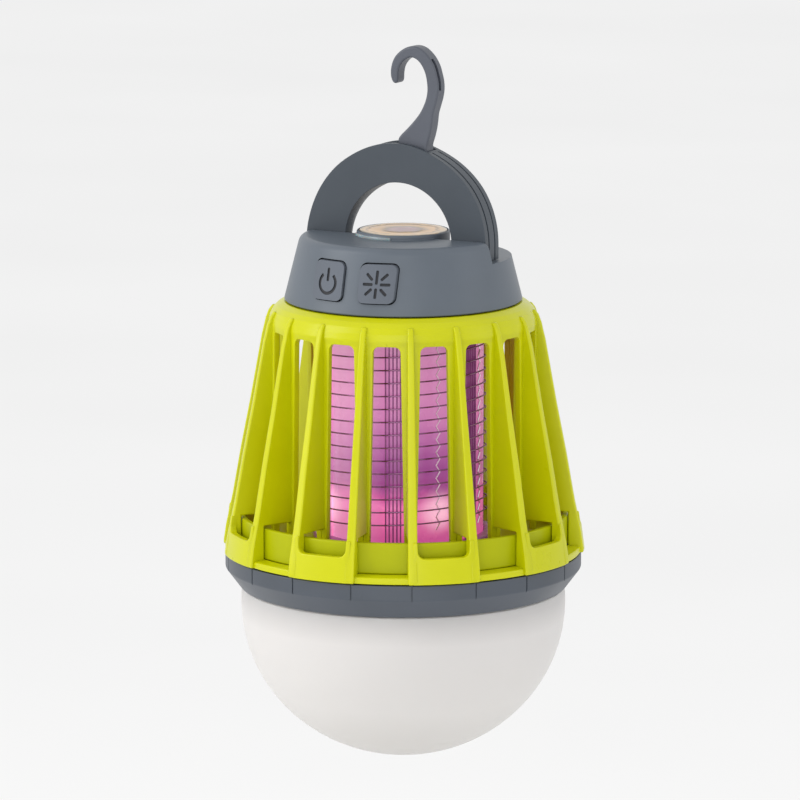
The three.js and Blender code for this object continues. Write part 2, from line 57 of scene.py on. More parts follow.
# ------------------------------------------------------------------ mesh tools
def rad(d):
    return math.radians(d)


def at(deg, r):
    return r * math.sin(rad(deg)), -r * math.cos(rad(deg))


def build(name, verts, faces, sharp=35.0):
    """verts in mm, height counted from the dome's lowest point."""
    me = bpy.data.meshes.new(name)
    me.from_pydata([(x / 1000, y / 1000, (z - ZO) / 1000) for x, y, z in verts], [], faces)
    me.validate()
    ob = bpy.data.objects.new(name, me)
    bpy.context.scene.collection.objects.link(ob)
    outward(ob)
    shade(ob, sharp)
    return ob


def outward(ob):
    bm = bmesh.new()
    bm.from_mesh(ob.data)
    bmesh.ops.remove_doubles(bm, verts=bm.verts, dist=1e-7)
    bmesh.ops.recalc_face_normals(bm, faces=bm.faces)
    bm.to_mesh(ob.data)
    bm.free()


def shade(ob, sharp=35.0):
    me = ob.data
    me.polygons.foreach_set("use_smooth", [True] * len(me.polygons))
    me.set_sharp_from_angle(angle=rad(sharp))
    me.update()


def fillet(pts, radii, n=5):
    """Rounds the corners of a closed outline. radii: one number, or {index: radius}."""
    out = []
    m = len(pts)
    for i, p in enumerate(pts):
        r = radii.get(i, 0) if isinstance(radii, dict) else radii
        a, b = Vector(pts[i - 1]), Vector(pts[(i + 1) % m])
        p = Vector(p)
        if r <= 0:
            out.append(tuple(p))
            continue
        u, v = (a - p), (b - p)
        lu, lv = u.length, v.length
        if lu < 1e-6 or lv < 1e-6:
            out.append(tuple(p))
            continue
        u.normalize(); v.normalize()
        ang = math.acos(max(-1, min(1, u.dot(v))))
        if ang > math.pi - 0.02:
            out.append(tuple(p))
            continue
        t = min(r / math.tan(ang / 2), 0.48 * lu, 0.48 * lv)
        rr = t * math.tan(ang / 2)
        c = p + (u + v).normalized() * (rr / math.sin(ang / 2))
        s, e = p + u * t, p + v * t
        a0 = math.atan2(s.y - c.y, s.x - c.x)
        a1 = math.atan2(e.y - c.y, e.x - c.x)
        d = (a1 - a0 + math.pi) % (2 * math.pi) - math.pi
        for k in range(n + 1):
            q = a0 + d * k / n
            out.append((c.x + rr * math.cos(q), c.y + rr * math.sin(q)))
    return out


def lathe(name, prof, seg=None, sharp=35.0):
    """Closed profile of (radius, height); points on the axis become poles."""
    seg = seg or SEG
    verts, faces, rows = [], [], []
    for r, z in prof:
        if r < 1e-5:
            rows.append([len(verts)])
            verts.append((0, 0, z))
        else:
            rows.append(list(range(len(verts), len(verts) + seg)))
            for k in range(seg):
                a = 2 * math.pi * k / seg
                verts.append((r * math.sin(a), -r * math.cos(a), z))
    m = len(rows)
    for i in range(m):
        a, b = rows[i], rows[(i + 1) % m]
        if len(a) == 1 and len(b) == 1:
            continue
        for k in range(seg):
            j = (k + 1) % seg
            if len(a) == 1:
                faces.append((a[0], b[k], b[j]))
            elif len(b) == 1:
                faces.append((a[k], b[0], a[j]))
            else:
                faces.append((a[k], b[k], b[j], a[j]))
    return build(name, verts, faces, sharp)


def prism(name, outline, d0, d1, axis="y", bevel=0.0, segs=3, sharp=35.0):
    """outline (x, z) extruded from y = d0 to d1, or (x, y) from z = d0 to d1."""
    n = len(outline)
    if axis == "y":
        verts = [(x, d0, z) for x, z in outline] + [(x, d1, z) for x, z in outline]
    else:
        verts = [(x, y, d0) for x, y in outline] + [(x, y, d1) for x, y in outline]
    faces = [tuple(range(n)), tuple(range(2 * n - 1, n - 1, -1))]
    faces += [(i, (i + 1) % n, n + (i + 1) % n, n + i) for i in range(n)]
    ob = build(name, verts, faces, sharp)
    if bevel:
        bevel_caps(ob, bevel, segs, sharp)
    return ob


def bevel_caps(ob, width, segs=3, sharp=35.0, angle=50.0):
    bm = bmesh.new()
    bm.from_mesh(ob.data)
    edges = [e for e in bm.edges if len(e.link_faces) == 2 and e.calc_face_angle(0) > rad(angle)]
    bmesh.ops.bevel(bm, geom=edges, offset=width / 1000, offset_type="OFFSET", segments=segs, profile=0.5, affect="EDGES", clamp_overlap=True)
    bmesh.ops.recalc_face_normals(bm, faces=bm.faces)
    bm.to_mesh(ob.data)
    bm.free()
    shade(ob, sharp)


def apply_mods(ob, sharp=35.0):
    dg = bpy.context.evaluated_depsgraph_get()
    me = bpy.data.meshes.new_from_object(ob.evaluated_get(dg))
    ob.modifiers.clear()
    old = ob.data
    ob.data = me
    bpy.data.meshes.remove(old)
    shade(ob, sharp)


def cut(ob, *tools, op="DIFFERENCE", sharp=35.0):
    for t in tools:
        m = ob.modifiers.new("b", "BOOLEAN")
        m.operation = op
        m.solver = "EXACT"
        m.object = t
    bpy.context.view_layer.update()
    apply_mods(ob, sharp)
    for t in tools:
        bpy.data.objects.remove(t)
    return ob


def soften(ob, width, segs=2, angle=40.0, sharp=35.0):
    m = ob.modifiers.new("v", "BEVEL")
    m.width = width / 1000
    m.segments = segs
    m.limit_method = "ANGLE"
    m.angle_limit = rad(angle)
    m.harden_normals = False
    bpy.context.view_layer.update()
    apply_mods(ob, sharp)
    return ob


def level(ob, sharp=35.0):
    """Flat faces keep their own shading direction; only the rounded edges blend."""
    shade(ob, sharp)
    m = ob.modifiers.new("w", "WEIGHTED_NORMAL")
    m.mode = "FACE_AREA"
    m.weight = 90
    m.keep_sharp = True
    bpy.context.view_layer.update()
    dg = bpy.context.evaluated_depsgraph_get()
    me = bpy.data.meshes.new_from_object(ob.evaluated_get(dg))
    ob.modifiers.clear()
    old = ob.data
    ob.data = me
    bpy.data.meshes.remove(old)
    return ob


def curved(name, outline, r_out, thick, centre, bevel=0.25, step=2.0, segs=2, cone=0.0, sharp=35.0):
    """A plate drawn flat as (arc length at r_out, height), bevelled, then bent round the
    centre line about the azimuth centre. cone: radius lost per mm of height."""
    n = len(outline)
    verts = [(s, 0.0, z) for s, z in outline] + [(s, thick, z) for s, z in outline]
    faces = [tuple(range(n)), tuple(range(2 * n - 1, n - 1, -1))]
    faces += [(i, (i + 1) % n, n + (i + 1) % n, n + i) for i in range(n)]
    bm = bmesh.new()
    vs = [bm.verts.new(v) for v in verts]
    for f in faces:
        bm.faces.new([vs[i] for i in f])
    bmesh.ops.recalc_face_normals(bm, faces=bm.faces)
    if bevel:
        edges = [e for e in bm.edges if e.calc_face_angle(0) > rad(50)]
        bmesh.ops.bevel(bm, geom=edges, offset=bevel, offset_type="OFFSET", segments=segs, profile=0.5, affect="EDGES", clamp_overlap=True)
    lo = min(v.co.x for v in bm.verts)
    hi = max(v.co.x for v in bm.verts)
    x = math.ceil(lo / step) * step
    while x < hi:
        bmesh.ops.bisect_plane(bm, geom=bm.verts[:] + bm.edges[:] + bm.faces[:], plane_co=(x, 0, 0), plane_no=(1, 0, 0), dist=1e-4)
        x += step
    me = bpy.data.meshes.new(name)
    bm.to_mesh(me)
    bm.free()
    z0 = min(z for _, z in outline)
    for v in me.vertices:
        s, d, z = v.co
        a = rad(centre) + s / r_out
        r = r_out - d - cone * (z - z0)
        v.co = (r * math.sin(a) / 1000, -r * math.cos(a) / 1000, (z - ZO) / 1000)
    ob = bpy.data.objects.new(name, me)
    bpy.context.scene.collection.objects.link(ob)
    outward(ob)
    shade(ob, sharp)
    return ob


def turned(ob, deg):
    """A copy turned about the centre line."""
    me = ob.data.copy()
    me.transform(Matrix.Rotation(rad(deg), 4, "Z"))
    o = bpy.data.objects.new(ob.name + "_t", me)
    bpy.context.scene.collection.objects.link(o)
    return o


def join(name, obs, sharp=35.0):
    bm = bmesh.new()
    for o in obs:
        bm.from_mesh(o.data)
    me = bpy.data.meshes.new(name)
    bm.to_mesh(me)
    bm.free()
    for o in obs:
        bpy.data.objects.remove(o)
    ob = bpy.data.objects.new(name, me)
    bpy.context.scene.collection.objects.link(ob)
    shade(ob, sharp)
    return ob


def tube(name, pts, r, sides=10, closed=False):
    """A round tube through pts (mm)."""
    pts = [Vector(p) for p in pts]
    n = len(pts)
    verts, faces = [], []
    prev = None
    for i, p in enumerate(pts):
        if closed:
            t = (pts[(i + 1) % n] - pts[i - 1]).normalized()
        else:
            t = (pts[min(i + 1, n - 1)] - pts[max(i - 1, 0)]).normalized()
        if prev is None:
            prev = t.orthogonal().normalized()
        u = (prev - t * prev.dot(t)).normalized()
        prev = u
        w = t.cross(u)
        for k in range(sides):
            a = 2 * math.pi * k / sides
            q = p + (u * math.cos(a) + w * math.sin(a)) * r
            verts.append(tuple(q))
    for i in range(n if closed else n - 1):
        j = (i + 1) % n
        for k in range(sides):
            l = (k + 1) % sides
            faces.append((i * sides + k, j * sides + k, j * sides + l, i * sides + l))
    if not closed:
        faces.append(tuple(range(sides)))
        faces.append(tuple(range(n * sides - 1, (n - 1) * sides - 1, -1)))
    return build(name, verts, faces, 50)


def round_rect(cx, cz, w, h, r, n=6):
    pts = []
    for sx, sz, a0 in ((1, 1, 0), (-1, 1, 90), (-1, -1, 180), (1, -1, 270)):
        for i in range(n + 1):
            a = rad(a0 + 90 * i / n)
            pts.append((cx + sx * (w / 2 - r) + r * math.cos(a), cz + sz * (h / 2 - r) + r * math.sin(a)))
    return pts


def arc(cx, cz, r, a0, a1, n):
    return [(cx + r * math.cos(rad(a0 + (a1 - a0) * i / n)), cz + r * math.sin(rad(a0 + (a1 - a0) * i / n))) for i in range(n + 1)]


def smooth_loop(pts, n=4):
    """Closed Catmull-Rom curve through pts."""
    out = []
    m = len(pts)
    for i in range(m):
        p0, p1, p2, p3 = (Vector(pts[(i + k) % m]) for k in (-1, 0, 1, 2))
        for k in range(n):
            t = k / n
            out.append(tuple(0.5 * ((2 * p1) + (p2 - p0) * t + (2 * p0 - 5 * p1 + 4 * p2 - p3) * t * t + (3 * p1 - p0 - 3 * p2 + p3) * t ** 3)))
    return out


# ------------------------------------------------------------------ materials
def lin(r, g, b):
    f = lambda c: (c / 255) / 12.92 if c / 255 <= 0.04045 else (((c / 255) + 0.055) / 1.055) ** 2.4
    return f(r), f(g), f(b), 1.0


def new_material(name):
    m = bpy.data.materials.new(name)
    m.use_nodes = True
    nt = m.node_tree
    nt.nodes.clear()
    out = nt.nodes.new("ShaderNodeOutputMaterial")
    p = nt.nodes.new("ShaderNodeBsdfPrincipled")
    nt.links.new(p.outputs[0], out.inputs[0])
    return m, nt, p


def noise(nt, scale, detail=3.0, rough=0.5, distortion=0.0, vec=None):
    t = nt.nodes.new("ShaderNodeTexNoise")
    t.inputs["Scale"].default_value = scale
    t.inputs["Detail"].default_value = detail
    t.inputs["Roughness"].default_value = rough
    t.inputs["Distortion"].default_value = distortion
    if vec is None:
        c = nt.nodes.new("ShaderNodeTexCoord")
        vec = c.outputs["Object"]
    nt.links.new(vec, t.inputs["Vector"])
    return t


def ramp(nt, fac, stops):
    r = nt.nodes.new("ShaderNodeValToRGB")
    cr = r.color_ramp
    while len(cr.elements) > 1:
        cr.elements.remove(cr.elements[-1])
    cr.elements[0].position = stops[0][0]
    cr.elements[0].color = stops[0][1]
    for pos, col in stops[1:]:
        e = cr.elements.new(pos)
        e.color = col
    nt.links.new(fac, r.inputs[0])
    return r


def map_range(nt, val, a, b, c, d):
    m = nt.nodes.new("ShaderNodeMapRange")
    m.inputs["From Min"].default_value = a
    m.inputs["From Max"].default_value = b
    m.inputs["To Min"].default_value = c
    m.inputs["To Max"].default_value = d
    nt.links.new(val, m.inputs["Value"])
    return m


def plastic(name, dark, light, rough=0.45, spread=0.06, grain=2600.0, bump=0.04, dist=0.00004, sss=0.0, coat=0.0, coat_rough=0.2,
            spec=0.5, wear=None, mottle=60.0, metal=0.0, sheen=0.0):
    m, nt, p = new_material(name)
    big = noise(nt, mottle, 4.0, 0.55)
    col = ramp(nt, big.outputs["Fac"], [(0.30, dark), (0.70, light)])
    src = col.outputs["Color"]
    if wear is not None:
        g = nt.nodes.new("ShaderNodeNewGeometry")
        w = map_range(nt, g.outputs["Pointiness"], 0.515, 0.60, 0.0, 0.55)
        mx = nt.nodes.new("ShaderNodeMix")
        mx.data_type = "RGBA"
        nt.links.new(w.outputs[0], mx.inputs[0])
        nt.links.new(src, mx.inputs[6])
        mx.inputs[7].default_value = wear
        src = mx.outputs[2]
    nt.links.new(src, p.inputs["Base Color"])
    fine = noise(nt, grain, 2.0, 0.6)
    b = nt.nodes.new("ShaderNodeBump")
    b.inputs["Strength"].default_value = bump
    b.inputs["Distance"].default_value = dist
    nt.links.new(fine.outputs["Fac"], b.inputs["Height"])
    nt.links.new(b.outputs["Normal"], p.inputs["Normal"])
    r = map_range(nt, big.outputs["Fac"], 0.3, 0.7, rough - spread, rough + spread)
    nt.links.new(r.outputs[0], p.inputs["Roughness"])
    p.inputs["Metallic"].default_value = metal
    p.inputs["Specular IOR Level"].default_value = spec
    if sss:
        p.inputs["Subsurface Weight"].default_value = sss
        p.inputs["Subsurface Radius"].default_value = (1.0, 0.9, 0.5)
        p.inputs["Subsurface Scale"].default_value = 0.003
    if coat:
        p.inputs["Coat Weight"].default_value = coat
        p.inputs["Coat Roughness"].default_value = coat_rough
    if sheen:
        p.inputs["Sheen Weight"].default_value = sheen
        p.inputs["Sheen Roughness"].default_value = 0.5
    return m


SLATE = plastic("slate_plastic", lin(84, 92, 101), lin(89, 97, 107), 0.42, 0.04, 3200, 0.10, 0.00003, spec=0.45)
# painted shade: the handle arch is a darker copy of the cap's slate plastic
SLATE_ARCH_SHADED = plastic("slate_arch_shaded_plastic", lin(58, 65, 73), lin(63, 70, 78), 0.42, 0.04, 3200, 0.10, 0.00003, spec=0.4)
# painted shade: the hook is a darker copy of the cap's slate plastic
SLATE_HOOK_SHADED = plastic("slate_hook_shaded_plastic", lin(74, 78, 87), lin(79, 83, 93), 0.42, 0.04, 3200, 0.10, 0.00003, spec=0.45)
# painted shade: the base ring (and base plate) is a darker copy of the cap's slate plastic
SLATE_BASE_SHADED = plastic("slate_base_plastic", lin(68, 74, 82), lin(73, 79, 88), 0.42, 0.04, 3200, 0.10, 0.00003, spec=0.4)
RUBBER = plastic("grey_rubber", lin(86, 92, 101), lin(93, 99, 109), 0.58, 0.05, 1500, 0.35, 0.00006, spec=0.35)
# painted shade for the floors of the engraved button icons
ICON_GROOVE_SHADE = plastic("icon_groove_shade", lin(22, 24, 29), lin(30, 33, 39), 0.6, 0.05, 2400, 0.1)
LIME = plastic("lime_plastic", lin(187, 190, 0), lin(194, 196, 0), 0.31, 0.04, 1800, 0.04, 0.00003, sss=0.08, spec=0.27, coat=0.05, coat_rough=0.12)
# painted shade: the catch tray's lime is a darker copy of the cage's lime plastic, for the shade it sits in under the
# cage
LIME_TRAY_SHADED = plastic("lime_tray_shaded_plastic", lin(162, 168, 0), lin(170, 175, 0), 0.38, 0.04, 1800, 0.05, 0.00003, sss=0.06, spec=0.16)
DARK = plastic("dark_plastic", lin(30, 30, 34), lin(38, 38, 43), 0.45, 0.06, 2200, 0.1)
WHITE = plastic("white_plastic", lin(228, 228, 230), lin(240, 240, 240), 0.4, 0.06, 2200, 0.06)
STEEL = plastic("bright_steel", lin(170, 170, 176), lin(196, 196, 200), 0.24, 0.06, 3000, 0.10, 0.00002, metal=1.0, mottle=300)
# painted reflection: the grid wires' steel is tinted purple for the lilac glow it reflects
WIRE_PAINTED_GLOW = plastic("grid_wire_steel_painted_glow", lin(138, 92, 128), lin(160, 112, 150), 0.22, 0.05, 3000, 0.08, 0.00002, metal=1.0, mottle=400)
# painted glint: near-white pink steel for the glints up the grid wires
CLIP_GLINT = plastic("clip_glint_steel", lin(232, 214, 226), lin(246, 232, 240), 0.3, 0.04, 3000, 0.06, 0.00002, metal=1.0, mottle=400)
BRASS = plastic("brass_contact", lin(190, 150, 70), lin(206, 170, 90), 0.3, 0.06, 2600, 0.1, metal=1.0, mottle=300)
COPPER = plastic("copper_brown", lin(140, 82, 44), lin(160, 98, 56), 0.4, 0.06, 2200, 0.1)
BOARD = plastic("circuit_board", lin(20, 74, 44), lin(28, 90, 54), 0.45, 0.06, 1500, 0.1, mottle=500)
CELL = plastic("cell_jacket", lin(36, 84, 140), lin(44, 96, 156), 0.35, 0.05, 2200, 0.06)
LED_W = plastic("white_led", lin(240, 232, 190), lin(248, 242, 206), 0.35, 0.05, 2200, 0.05)
SCREW = STEEL


def frosted():
    m, nt, p = new_material("frosted_diffuser")
    big = noise(nt, 26.0, 3.0, 0.5)
    c = nt.nodes.new("ShaderNodeTexCoord")
    sep = nt.nodes.new("ShaderNodeSeparateXYZ")
    nt.links.new(c.outputs["Object"], sep.inputs[0])
    h = map_range(nt, sep.outputs["Z"], (0 - ZO) / 1000, (42 - ZO) / 1000, 0.0, 1.0)
    w = map_range(nt, big.outputs["Fac"], 0.3, 0.7, -0.02, 0.02)
    add = nt.nodes.new("ShaderNodeMath")
    add.operation = "ADD"
    nt.links.new(h.outputs[0], add.inputs[0])
    nt.links.new(w.outputs[0], add.inputs[1])
    # painted shade: the colour darkens towards the bottom, and in a band just under the base ring where the ring's
    # shadow falls
    col = ramp(nt, add.outputs[0], [(0.0, lin(184, 181, 177)), (0.12, lin(196, 193, 189)), (0.40, lin(208, 205, 202)), (0.84, lin(208, 205, 203)), (0.98, lin(188, 186, 185))])
    nt.links.new(col.outputs["Color"], p.inputs["Base Color"])
    fine = noise(nt, 1500.0, 3.0, 0.6)
    b = nt.nodes.new("ShaderNodeBump")
    b.inputs["Strength"].default_value = 0.06
    b.inputs["Distance"].default_value = 0.00004
    nt.links.new(fine.outputs["Fac"], b.inputs["Height"])
    nt.links.new(b.outputs["Normal"], p.inputs["Normal"])
    r = map_range(nt, big.outputs["Fac"], 0.3, 0.7, 0.38, 0.46)
    nt.links.new(r.outputs[0], p.inputs["Roughness"])
    p.inputs["Subsurface Weight"].default_value = 0.55
    p.inputs["Subsurface Radius"].default_value = (1.0, 0.95, 0.9)
    p.inputs["Subsurface Scale"].default_value = 0.006
    p.inputs["Specular IOR Level"].default_value = 0.25
    return m


FROST = frosted()


def glow_sleeve():
    """Light column: lilac above, deeper purple low down, pink at the foot with a hot spot at each LED."""
    m, nt, p = new_material("lilac_light_sleeve")
    c = nt.nodes.new("ShaderNodeTexCoord")
    sep = nt.nodes.new("ShaderNodeSeparateXYZ")
    nt.links.new(c.outputs["Object"], sep.inputs[0])
    h = map_range(nt, sep.outputs["Z"], (57 - ZO) / 1000, (112 - ZO) / 1000, 0.0, 1.0)
    wob = noise(nt, 90.0, 3.0, 0.6)
    w = map_range(nt, wob.outputs["Fac"], 0.3, 0.7, -0.035, 0.035)
    add = nt.nodes.new("ShaderNodeMath")
    add.operation = "ADD"
    nt.links.new(h.outputs[0], add.inputs[0])
    nt.links.new(w.outputs[0], add.inputs[1])
    z = lambda mm: (mm - 57) / 55
    col = ramp(nt, add.outputs[0], [
        (z(58), lin(200, 88, 150)), (z(61.5), lin(218, 108, 168)), (z(65.5), lin(222, 118, 176)), (z(68), lin(190, 86, 152)),
        (z(70.5), lin(146, 66, 130)), (z(74.5), lin(142, 68, 132)), (z(80), lin(162, 90, 148)), (z(88), lin(184, 114, 164)),
        (z(98), lin(190, 122, 168)), (z(109), lin(190, 126, 168))])
    # hot spots round the foot
    src = col.outputs["Color"]
    for k in range(4):
        x, y = at(53 + 90 * k, 19.8)
        d = nt.nodes.new("ShaderNodeVectorMath")
        d.operation = "DISTANCE"
        nt.links.new(c.outputs["Object"], d.inputs[0])
        d.inputs[1].default_value = (x / 1000, y / 1000, (64.5 - ZO) / 1000)
        f = map_range(nt, d.outputs["Value"], 0.0066, 0.0008, 0.0, 0.85)
        f.interpolation_type = "SMOOTHSTEP"
        mx = nt.nodes.new("ShaderNodeMix")
        mx.data_type = "RGBA"
        nt.links.new(f.outputs[0], mx.inputs[0])
        nt.links.new(src, mx.inputs[6])
        mx.inputs[7].default_value = lin(252, 196, 220)
        src = mx.outputs[2]
    # painted light by side: a darker, redder painted shade round the right and a paler painted highlight round the left
    for lo, hi, tone, amt in ((0.0168, 0.0196, lin(196, 84, 140), 0.40), (0.004, -0.012, lin(232, 176, 208), 0.45)):
        f = map_range(nt, sep.outputs["X"], lo, hi, 0.0, amt)
        mx = nt.nodes.new("ShaderNodeMix")
        mx.data_type = "RGBA"
        nt.links.new(f.outputs[0], mx.inputs[0])
        nt.links.new(src, mx.inputs[6])
        mx.inputs[7].default_value = tone
        src = mx.outputs[2]
    nt.links.new(src, p.inputs["Emission Color"])
    p.inputs["Emission Strength"].default_value = 0.60
    nt.links.new(src, p.inputs["Base Color"])
    fine = noise(nt, 700.0, 2.0, 0.5)
    b = nt.nodes.new("ShaderNodeBump")
    b.inputs["Strength"].default_value = 0.08
    b.inputs["Distance"].default_value = 0.00008
    nt.links.new(fine.outputs["Fac"], b.inputs["Height"])
    nt.links.new(b.outputs["Normal"], p.inputs["Normal"])
    r = map_range(nt, wob.outputs["Fac"], 0.3, 0.7, 0.22, 0.32)
    nt.links.new(r.outputs[0], p.inputs["Roughness"])
    return m


GLOW = glow_sleeve()


def led_violet():
    m, nt, p = new_material("violet_led")
    n = noise(nt, 600.0, 2.0)
    col = ramp(nt, n.outputs["Fac"], [(0.3, lin(190, 150, 255)), (0.7, lin(214, 180, 255))])
    nt.links.new(col.outputs["Color"], p.inputs["Base Color"])
    nt.links.new(col.outputs["Color"], p.inputs["Emission Color"])
    p.inputs["Emission Strength"].default_value = 3.0
    p.inputs["Roughness"].default_value = 0.2
    return m


LED_V = led_violet()


def comb_material():
    """Clear comb posts of the grid frame, with a painted lilac glow for the sleeve's light shining through them."""
    m, nt, p = new_material("comb_post_plastic")
    n = noise(nt, 240.0, 3.0)
    col = ramp(nt, n.outputs["Fac"], [(0.3, lin(122, 62, 112)), (0.7, lin(144, 80, 132))])
    nt.links.new(col.outputs["Color"], p.inputs["Base Color"])
    nt.links.new(col.outputs["Color"], p.inputs["Emission Color"])
    p.inputs["Emission Strength"].default_value = 0.16
    r = map_range(nt, n.outputs["Fac"], 0.3, 0.7, 0.18, 0.30)
    nt.links.new(r.outputs[0], p.inputs["Roughness"])
    b = nt.nodes.new("ShaderNodeBump")
    b.inputs["Strength"].default_value = 0.08
    b.inputs["Distance"].default_value = 0.00005
    f = noise(nt, 1400.0, 2.0)
    nt.links.new(f.outputs["Fac"], b.inputs["Height"])
    nt.links.new(b.outputs["Normal"], p.inputs["Normal"])
    return m


COMB = comb_material()


def label_material():
    """Plain printed disc: beige rim, amber ring, rose centre."""
    m, nt, p = new_material("amber_label")
    c = nt.nodes.new("ShaderNodeTexCoord")
    sep = nt.nodes.new("ShaderNodeSeparateXYZ")
    nt.links.new(c.outputs["Object"], sep.inputs[0])
    comb = nt.nodes.new("ShaderNodeCombineXYZ")
    nt.links.new(sep.outputs["X"], comb.inputs["X"])
    nt.links.new(sep.outputs["Y"], comb.inputs["Y"])
    ln = nt.nodes.new("ShaderNodeVectorMath")
    ln.operation = "LENGTH"
    nt.links.new(comb.outputs[0], ln.inputs[0])
    n = noise(nt, 320.0, 3.0)
    w = map_range(nt, n.outputs["Fac"], 0.3, 0.7, -0.0006, 0.0006)
    add = nt.nodes.new("ShaderNodeMath")
    add.operation = "ADD"
    nt.links.new(ln.outputs["Value"], add.inputs[0])
    nt.links.new(w.outputs[0], add.inputs[1])
    r = map_range(nt, add.outputs[0], 0.0, 0.0108, 0.0, 1.0)
    col = ramp(nt, r.outputs[0], [
        (0.0, lin(132, 84, 92)), (0.26, lin(152, 100, 100)), (0.40, lin(120, 92, 66)), (0.48, lin(150, 112, 60)), (0.58, lin(206, 156, 84)),
        (0.72, lin(222, 172, 100)), (0.80, lin(150, 116, 80)), (0.86, lin(214, 176, 120)), (0.95, lin(206, 178, 134)), (1.0, lin(140, 132, 120))])
    nt.links.new(col.outputs["Color"], p.inputs["Base Color"])
    rr = map_range(nt, n.outputs["Fac"], 0.3, 0.7, 0.28, 0.38)
    nt.links.new(rr.outputs[0], p.inputs["Roughness"])
    p.inputs["Coat Weight"].default_value = 0.4
    p.inputs["Coat Roughness"].default_value = 0.12
    return m


LABEL = label_material()


# painted highlight: a pale teal finish for the highlight on the boss's foot
def teal_highlight_material():
    m, nt, p = new_material("teal_highlight_strip")
    n = noise(nt, 200.0, 2.0)
    col = ramp(nt, n.outputs["Fac"], [(0.3, lin(138, 152, 156)), (0.7, lin(152, 164, 168))])
    nt.links.new(col.outputs["Color"], p.inputs["Base Color"])
    r = map_range(nt, n.outputs["Fac"], 0.3, 0.7, 0.12, 0.2)
    nt.links.new(r.outputs[0], p.inputs["Roughness"])
    p.inputs["Subsurface Weight"].default_value = 0.3
    p.inputs["Subsurface Scale"].default_value = 0.002
    return m


TEAL_HIGHLIGHT = teal_highlight_material()


def paint(ob, mat, body):
    ob.data.materials.clear()
    ob.data.materials.append(mat)
    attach(ob, body)
    return ob


# ------------------------------------------------------------------ camera, lights, floor
A, E, DIST = rad(27.0), rad(10.3), 1.300
back = Vector((math.sin(A) * math.cos(E), -math.cos(A) * math.cos(E), math.sin(E)))
right = Vector((math.cos(A), math.sin(A), 0.0))
PX_MM = 4.044
target = Vector((0, 0, (89.0 - ZO) / 1000)) - right * (3.3 / PX_MM / 1000)
cam_data = bpy.data.cameras.new("camera")
cam = bpy.data.objects.new("camera", cam_data)
bpy.context.scene.collection.objects.link(cam)
cam.location = target + back * DIST
cam.rotation_euler = back.to_track_quat("Z", "Y").to_euler()
cam_data.lens = PX_MM * DIST * 1000 / 800 * 36
cam_data.sensor_width = 36
cam_data.clip_start = 0.05
cam_data.clip_end = 60
bpy.context.scene.camera = cam

world = bpy.data.worlds.new("studio")
bpy.context.scene.world = world
world.use_nodes = True
world.node_tree.nodes["Background"].inputs[0].default_value = (1.0, 1.0, 1.0, 1)
world.node_tree.nodes["Background"].inputs[1].default_value = 0.95
bpy.context.scene.view_settings.view_transform = "Standard"
bpy.context.scene.view_settings.look = "None"


def area(name, az, el, dist, size, power, colour=(1, 1, 1), size_y=None, aim=(0, 0, -0.06)):
    l = bpy.data.lights.new(name, "AREA")
    l.shape = "RECTANGLE" if size_y else "SQUARE"
    l.size = size
    if size_y:
        l.size_y = size_y
    l.energy = power
    l.color = colour
    o = bpy.data.objects.new(name, l)
    bpy.context.scene.collection.objects.link(o)
    d = Vector((math.sin(rad(az)) * math.cos(rad(el)), -math.cos(rad(az)) * math.cos(rad(el)), math.sin(rad(el))))
    o.location = Vector(aim) + d * dist
    o.rotation_euler = d.to_track_quat("Z", "Y").to_euler()
    return o


area("key", -46, 26, 0.95, 0.5, 3.9, (1.0, 0.99, 0.97), 0.8)
area("front", 20, 6, 1.3, 0.8, 3.0, (1.0, 0.995, 0.985), 0.8)
area("fill", 100, 14, 1.1, 0.5, 1.0, (0.985, 0.99, 1.0), 0.9)

fl = 30.0
fz = CAD_BOX[0][2] - 0.25
floor = build("floor", [(-fl * 1000, -fl * 1000, fz * 1000 + ZO), (fl * 1000, -fl * 1000, fz * 1000 + ZO), (fl * 1000, fl * 1000, fz * 1000 + ZO), (-fl * 1000, fl * 1000, fz * 1000 + ZO)], [(0, 1, 2, 3)])
fm, fnt, fp = new_material("pale_floor")
fn = noise(fnt, 3.0, 2.0)
fc = ramp(fnt, fn.outputs["Fac"], [(0.3, (0.86, 0.86, 0.86, 1)), (0.7, (0.88, 0.88, 0.88, 1))])
fnt.links.new(fc.outputs["Color"], fp.inputs["Base Color"])
fp.inputs["Roughness"].default_value = 0.9
fp.inputs["Specular IOR Level"].default_value = 0.0
fp.inputs["Emission Color"].default_value = (1, 1, 1, 1)
fp.inputs["Emission Strength"].default_value = 0.04
floor.data.materials.append(fm)

# ------------------------------------------------------------------ cap
CAP_Z, CAP_R, SLOPE = 114.5, 29.4, 0.2523
capr = lambda z: CAP_R - (z - CAP_Z) * SLOPE


def solid_cone(name, off, z0=108.0, z1=136.0, seg=None):
    return lathe(name, [(0, z0), (capr(z0) + off, z0), (capr(z1) + off, z1), (0, z1)], seg)


crown = fillet([(0, CAP_Z), (CAP_R, CAP_Z), (capr(130.5), 130.5), (0, 130.5)], {1: 0.35, 2: 2.1}, 8)
cap = lathe("cap_body", crown)
rear = prism("t", [(-45, -3.95), (45, -3.95), (45, 45), (-45, 45)], 125.4, 140, "z")
cut(cap, rear)
boss = lathe("t", fillet([(0, 121), (11.5, 121), (11.5, 131.7), (0, 131.7)], {2: 0.55}, 5))
cut(cap, boss, op="UNION")
hollow = lathe("t", [(0, 110), (capr(114.5) - 1.7, 110), (capr(114.5) - 1.7, 114.5), (capr(123.7) - 1.7, 123.7), (0, 123.7)], 96)
seat = lathe("t", [(0, 131.0), (11.05, 131.0), (11.05, 135), (0, 135)])
cut(cap, hollow, seat)
pockets = [prism("t", round_rect(s * 6.6, 122.3, 9.45, 9.85, 1.7), -45, -20.2) for s in (-1, 1)]
